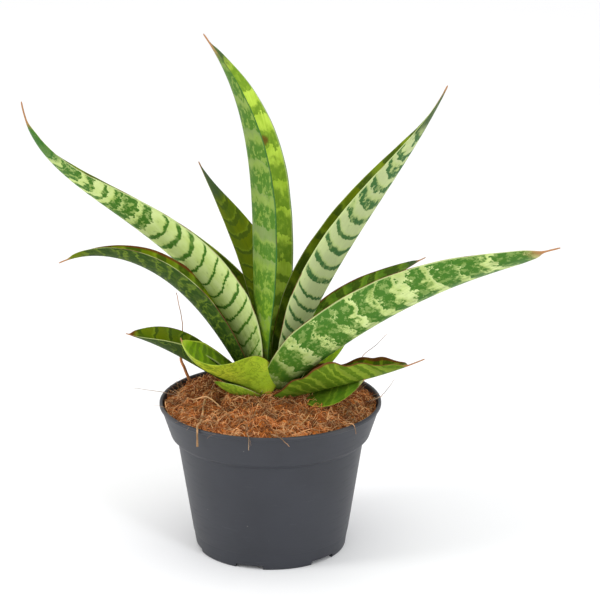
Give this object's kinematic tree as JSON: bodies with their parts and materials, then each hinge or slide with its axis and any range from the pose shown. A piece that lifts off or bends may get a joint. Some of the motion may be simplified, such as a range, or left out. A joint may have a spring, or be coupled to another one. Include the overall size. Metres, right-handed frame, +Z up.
{
  "type": "potted snake plant",
  "caption": "Young snake plant with banded channelled leaves in a round tapered nursery pot filled with coir.",
  "frame": {"origin": "centre of the pot's underside pad, on the surface that the pot stands on", "axes": "+Z up along the pot's axis; +X and +Y level, with most leaves spreading towards +X, -X and -Y"},
  "size_m": [0.2634, 0.1876, 0.2817],
  "materials": {
    "pot_plastic": "satin dark slate-grey injection-moulded polypropylene with fine scuffs",
    "coir": "loose orange-brown coconut fibre and peat, matt",
    "crown": "dull tan rhizome skin",
    "blade": "pale green waxy leaf with dark green wavy cross-bands and a thin red-brown margin",
    "root": "dry orange-tan root",
    "fibre": "dry coconut fibre, orange-brown"
  },
  "bodies": {
    "root": {"pot": "pot_plastic", "coir": "coir", "crown": "crown", "leaf_tall": "blade", "leaf_long_left": "blade", "leaf_long_right": "blade", "leaf_upper_right": "blade", "leaf_arched_left": "blade", "leaf_back": "blade", "leaf_right_rear": "blade", "leaf_low_left": "blade", "leaf_low_right": "blade", "leaf_clasping": "blade", "leaf_scale_left": "blade", "leaf_scale_right": "blade", "leaf_scale_front": "blade", "aerial_root": "root", "hanging_root": "root", "root_branch": "root", "fibre_front_left": "fibre", "fibre_front": "fibre", "fibre_front_right": "fibre", "fibre_long_right": "fibre", "fibre_rear_left": "fibre", "fibre_rear_right": "fibre", "fibre_wisp_left": "fibre", "fibre_wisp_right": "fibre"}
  },
  "joints": []
}
